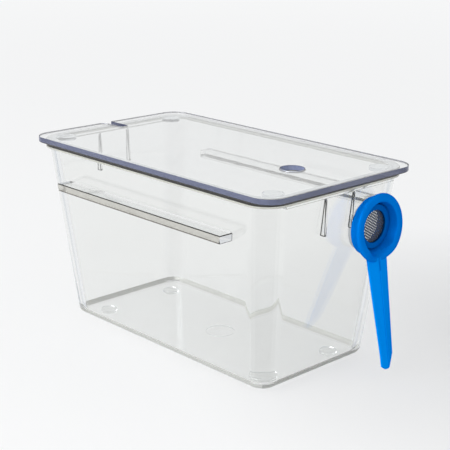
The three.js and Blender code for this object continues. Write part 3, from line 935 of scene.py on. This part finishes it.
def bowl_shape(sizes):
    """The strainer's spigot, flange and bowl, whose rim opens downwards onto the spout."""
    bm = turned([
        (SPIGOT_END, BORE_RADIUS, SPIGOT_ROUNDING),
        (0, BORE_RADIUS, SEAT_ROUNDING),
        *((depth, hollow_radius(depth), 0) for depth in WALL_DEPTHS),
        (MOUTH_AHEAD, MOUTH_RADIUS, sizes.mouth_rounding),
        (MOUTH_AHEAD, RIM_RADIUS, sizes.rim_rounding),
        (BOWL_BACK, BOWL_BACK_RADIUS, BACK_ROUNDING),
        (FLANGE_BACK, FLANGE_RADIUS, FLANGE_ROUNDING),
        (FLANGE_BACK, THROAT_RADIUS, 0),
        (GROOVE_FRONT, THROAT_RADIUS, GROOVE_ROUNDING),
        (GROOVE_FRONT, GROOVE_RADIUS, 0),
        (GROOVE_BACK, GROOVE_RADIUS, 0),
        (GROOVE_BACK, THROAT_RADIUS, GROOVE_ROUNDING),
        (SPIGOT_END, THROAT_RADIUS, FLANGE_ROUNDING),
    ])
    for vert in bm.verts:
        place = vert.co - AXIS
        radius = math.hypot(place.y, place.z)
        ahead = place.x
        drawn = limited(1 - (math.atan2(abs(place.y), -place.z) / OPENING_ANGLE) ** 2) ** 2
        in_hollow = radius < hollow_radius(ahead) + HOLLOW_REACH
        if ahead > 0 and (in_hollow or ahead > RIM_AHEAD):
            inwards = limited((OPENING_RADIUS - radius) / OPENING_FADE)
            push = OPENING_DROP * drawn * limited(ahead / MOUTH_AHEAD) * inwards
            vert.co.y += push * place.y / radius
            vert.co.z += push * place.z / radius
        vert.co.x -= OPENING_BACK * drawn * limited((ahead - OPENING_AHEAD) / OPENING_DEPTH)
        vert.co.x -= BOWL_LEAN * place.z * limited((ahead - FLANGE_BACK) / (MOUTH_AHEAD - FLANGE_BACK))
    return bm


def spout_half_width(drop):
    """Half the spout's width at a drop below the port's axis."""
    share = limited((drop - SHOULDER_DROP) / (TAPER_DROP - SHOULDER_DROP))
    return SHOULDER_HALF_WIDTH + (TAPER_HALF_WIDTH - SHOULDER_HALF_WIDTH) * share


def spout_end(across, side):
    """How far down the spout reaches at a distance from its crease; its two sides are cut differently."""
    if side < 0:
        return TIP_DROP - limited((across - NEAR_TIP_HALF_WIDTH) / NEAR_CUT_WIDTH) * NEAR_CUT_RISE
    return TIP_DROP - limited((across - FAR_TIP_HALF_WIDTH) / FAR_CUT_WIDTH) * (TIP_DROP - TAPER_DROP)


def spout_shape(sizes):
    """The spout: a long leaning plate with a crease down its middle."""
    bm = bmesh.new()
    columns = len(SPOUT_COLUMNS) - 1
    bmesh.ops.create_grid(bm, x_segments=2 * columns, y_segments=SPOUT_ROWS, size=1.0)
    for vert in bm.verts:
        side = math.copysign(1, vert.co.x)
        across_share = SPOUT_COLUMNS[round(abs(vert.co.x) * columns)]
        end = spout_end(across_share * TAPER_HALF_WIDTH, side)
        drop = SPOUT_TOP_DROP + (end - SPOUT_TOP_DROP) * (1 - vert.co.y) / 2
        across = across_share * spout_half_width(drop)
        ahead = SPOUT_AHEAD + SPOUT_LEAN * (drop - SHOULDER_DROP) - SPOUT_FOLD * across
        if not across_share:
            ahead -= sizes.spout_crease
        vert.co = AXIS + Vector((ahead, side * across, -drop))
    sheet = bmesh.ops.extrude_face_region(bm, geom=list(bm.faces), use_keep_orig=True)
    back = [item for item in sheet["geom"] if isinstance(item, bmesh.types.BMVert)]
    bmesh.ops.translate(bm, verts=back, vec=(-sizes.spout_thickness, 0, 0))
    bmesh.ops.recalc_face_normals(bm, faces=bm.faces)
    line_edges(bm, outline_edges(bm, lambda point: True), SPOUT_EDGE, material=-1)
    return bm


def strainer_part(place):
    """Which part of the strainer a point from its axis is on, as a place among its finishes: the bore and
    hollow take painted shade, the spout painted light.
    """
    radius = math.hypot(place.y, place.z)
    if radius > RIM_RADIUS + WELD:
        return SPOUT
    if place.x < WELD:
        return BORE if radius < BORE_RADIUS + BORE_REACH else OUTSIDE
    ahead = place.x + BOWL_LEAN * place.z
    in_hollow = radius < MOUTH_RADIUS and ahead < MOUTH_AHEAD - HOLLOW_EDGE
    return HOLLOW if in_hollow else OUTSIDE


def hold_ring_shape():
    """The ring that holds the mesh; its inner side has the bore's painted shade."""
    bm = turned([
        (HOLD_RING_BACK, HOLD_RING_RADIUS, 0),
        (HOLD_RING_FRONT, HOLD_RING_RADIUS, HOLD_RING_ROUNDING),
        (HOLD_RING_FRONT, MESH_RADIUS, SEAT_ROUNDING),
        (HOLD_RING_BACK, MESH_RADIUS, 0),
    ])
    for face in bm.faces:
        place = face.calc_center_median() - AXIS
        on_inner_side = math.hypot(place.y, place.z) < HOLD_RING_RADIUS + WELD
        face.material_index = BORE if on_inner_side else OUTSIDE
    return bm


def blue_finish(name, base, factor=0.9):
    """Blue plastic whose flow marks are a darker copy of its colour."""
    return finish_of(name, blue_plastic, base, shade(base, factor))


class FISHTANK_OT_strainer(bpy.types.Operator):
    """Moulds the blue strainer with its bowl and long spout"""
    bl_idname = "fishtank.strainer"
    bl_label = "Strainer"

    def execute(self, context):
        sizes = context.scene.fish_tank_sizes
        colours = context.scene.fish_tank_colours
        outside = finish_of("blue_strainer_plastic", blue_plastic, colours.strainer_blue,
                            colours.strainer_deep)
        # Painted shade: the bore and the hollow take darker blues
        bore = blue_finish("blue_bore_plastic", colours.bore_painted_shade_blue, factor=0.8)
        hollow = blue_finish("blue_hollow_plastic", colours.hollow_painted_shade_blue)
        # Painted light: the spout takes a brighter blue
        spout = blue_finish("blue_spout_plastic", colours.spout_painted_light_blue)
        # Painted shade on the hold ring: a darker copy of the hollow's blue
        ring = blue_finish("blue_ring_plastic", shade(colours.hollow_painted_shade_blue, factor=0.75))
        body = combine(bowl_shape(sizes), spout_shape(sizes), "UNION")
        for face in body.faces:
            face.material_index = strainer_part(face.calc_center_median() - AXIS)
        dress(show("strainer_body_moulding", body, [outside, bore, hollow, spout]), "strainer_body")
        dress(show("mesh_hold_ring_moulding", hold_ring_shape(), [ring, bore]), "mesh_hold_ring")
        return {"FINISHED"}


def wire_points(row, family, sizes, reach):
    """One wire's way over and under the wires that cross it: [along, lift]."""
    pitch = sizes.wire_pitch
    half = math.sqrt(reach ** 2 - (row * pitch) ** 2)
    crossings = int(half / pitch)
    points = [(-half, 0)]
    for crossing in range(-crossings, crossings + 1):
        side = 1 if (crossing + row + family) % 2 else -1
        points.append((crossing * pitch, side * WEAVE_SWAY))
    return points + [(half, 0)]


def woven_wires(sizes, reach):
    """Two families of wires that cross over and under each other, as a mesh."""
    curve = bpy.data.curves.new("woven_wires", "CURVE")
    curve.dimensions = "3D"
    curve.bevel_depth = sizes.wire_radius
    curve.bevel_resolution = 1
    curve.use_fill_caps = True
    rows = int(reach / sizes.wire_pitch)
    for family in (0, 1):
        for row in range(-rows, rows + 1):
            points = wire_points(row, family, sizes, reach)
            spline = curve.splines.new("POLY")
            spline.points.add(len(points) - 1)
            for point, (along, lift) in zip(spline.points, points):
                level = row * sizes.wire_pitch
                point.co = (level, along, lift, 1) if family else (along, level, lift, 1)
    holder = add_object("woven_wires", curve)
    graph = bpy.context.evaluated_depsgraph_get()
    mesh = bpy.data.meshes.new_from_object(holder.evaluated_get(graph))
    bpy.data.objects.remove(holder)
    bm = bmesh.new()
    bm.from_mesh(mesh)
    bpy.data.meshes.remove(mesh)
    return bm


class FISHTANK_OT_mesh(bpy.types.Operator):
    """Weaves the wire mesh across the strainer's throat"""
    bl_idname = "fishtank.mesh"
    bl_label = "Wire mesh"

    def execute(self, context):
        sizes = context.scene.fish_tank_sizes
        steel = finish_of("woven_steel_wire", steel_wire, context.scene.fish_tank_colours.wire)
        bm = woven_wires(sizes, MESH_RADIUS - sizes.wire_radius)
        bmesh.ops.scale(bm, verts=bm.verts, vec=(1, 1, WIRE_FLATNESS))
        bmesh.ops.rotate(bm, verts=bm.verts, cent=(0, 0, 0), matrix=Matrix.Rotation(WEAVE_ANGLE, 3, "Z"))
        upright = Matrix(((0, 0, 1), (1, 0, 0), (0, 1, 0))).to_4x4()
        seat = Matrix.Translation((MESH_X, AXIS.y, AXIS.z))
        bmesh.ops.transform(bm, verts=bm.verts, matrix=seat @ upright)
        dress(show("strainer_mesh_wires", bm, [steel]), "strainer_mesh")
        return {"FINISHED"}


class FISHTANK_OT_seal(bpy.types.Operator):
    """Adds the seal ring in the port"""
    bl_idname = "fishtank.seal"
    bl_label = "Seal ring"

    def execute(self, context):
        rubber = finish_of("seal_ring_rubber", seal_rubber, context.scene.fish_tank_colours.rubber)
        moulded_piece("port_seal", SEAL_EDGE, [rubber])
        return {"FINISHED"}


def add_floor(base):
    """The studio floor, a hair below the feet."""
    bm = bmesh.new()
    bmesh.ops.create_grid(bm, x_segments=1, y_segments=1, size=FLOOR_REACH)
    bmesh.ops.translate(bm, verts=bm.verts, vec=(0, 0, -FLOOR_DROP))
    show("studio_floor", bm, [studio_floor("studio_floor_paper", base)])


def add_world():
    """Soft surroundings, brighter at eye level than overhead."""
    world = bpy.data.worlds.new("soft_studio")
    world.use_nodes = True
    tree = world.node_tree
    direction = tree.nodes.new("ShaderNodeTexCoord")
    parts = tree.nodes.new("ShaderNodeSeparateXYZ")
    strength = tree.nodes.new("ShaderNodeMapRange")
    strength.inputs["From Max"].default_value = 1.0
    strength.inputs["To Min"].default_value = HORIZON_LIGHT
    strength.inputs["To Max"].default_value = ZENITH_LIGHT
    tree.links.new(direction.outputs["Generated"], parts.inputs[0])
    tree.links.new(parts.outputs["Z"], strength.inputs["Value"])
    tree.links.new(strength.outputs[0], tree.nodes["Background"].inputs["Strength"])
    tree.nodes["Background"].inputs["Color"].default_value = (1, 1, 1, 1)
    bpy.context.scene.world = world


def add_soft_box():
    """The one lamp, a large square of light in front of the tank."""
    lamp = bpy.data.lights.new("soft_box", "AREA")
    lamp.energy = SOFT_BOX_WATTS
    lamp.size = SOFT_BOX_SIZE
    box = add_object("soft_box", lamp)
    box.location = SOFT_BOX_PLACE
    way = Vector(SOFT_BOX_AIM) - Vector(SOFT_BOX_PLACE)
    box.rotation_euler = way.to_track_quat("-Z", "Y").to_euler()


def add_camera():
    """The camera at the photo's angle."""
    lens = bpy.data.cameras.new("photo_view")
    lens.lens = LENS_LENGTH
    lens.sensor_width = SENSOR_WIDTH
    camera = add_object("photo_view", lens)
    camera.location = CAMERA_PLACE
    turn = Matrix.Rotation(CAMERA_TURN, 3, "Z")
    tilt = Matrix.Rotation(CAMERA_TILT, 3, "X")
    roll = Matrix.Rotation(CAMERA_ROLL, 3, "Z")
    camera.rotation_euler = (turn @ tilt @ roll).to_euler()
    bpy.context.scene.camera = camera


class FISHTANK_OT_stage(bpy.types.Operator):
    """Sets the floor, the soft light and the camera"""
    bl_idname = "fishtank.stage"
    bl_label = "Studio"

    def execute(self, context):
        add_floor(context.scene.fish_tank_colours.floor)
        add_world()
        add_soft_box()
        add_camera()
        context.scene.view_settings.view_transform = "Standard"
        return {"FINISHED"}


OPERATORS = (
    FISHTANK_OT_tub, FISHTANK_OT_rails, FISHTANK_OT_ribs, FISHTANK_OT_collar, FISHTANK_OT_feet,
    FISHTANK_OT_lid, FISHTANK_OT_lid_pads, FISHTANK_OT_strainer, FISHTANK_OT_mesh, FISHTANK_OT_seal,
    FISHTANK_OT_stage,
)


class FISHTANK_PT_pieces(bpy.types.Panel):
    """Lists the tank's pieces, sizes and colours"""
    bl_idname = "FISHTANK_PT_pieces"
    bl_label = "Zebrafish Tank"
    bl_space_type = "VIEW_3D"
    bl_region_type = "UI"
    bl_category = "Fish Tank"

    def draw(self, context):
        column = self.layout.column(align=True)
        for group in (context.scene.fish_tank_sizes, context.scene.fish_tank_colours):
            for name in group.__annotations__:
                column.prop(group, name)
        for operator in OPERATORS:
            column.operator(operator.bl_idname)


CLASSES = (FishTankSizes, FishTankColours, *OPERATORS, FISHTANK_PT_pieces)


def register():
    """Adds the classes and the scene's settings."""
    for item in CLASSES:
        bpy.utils.register_class(item)
    bpy.types.Scene.fish_tank_sizes = PointerProperty(type=FishTankSizes)
    bpy.types.Scene.fish_tank_colours = PointerProperty(type=FishTankColours)


def unregister():
    """Takes the settings and the classes away again."""
    del bpy.types.Scene.fish_tank_colours
    del bpy.types.Scene.fish_tank_sizes
    for item in reversed(CLASSES):
        bpy.utils.unregister_class(item)


def main():
    """Builds every piece and the studio."""
    register()
    for operator in OPERATORS:
        group, name = operator.bl_idname.split(".")
        getattr(getattr(bpy.ops, group), name)()


if __name__ == "__main__":
    main()
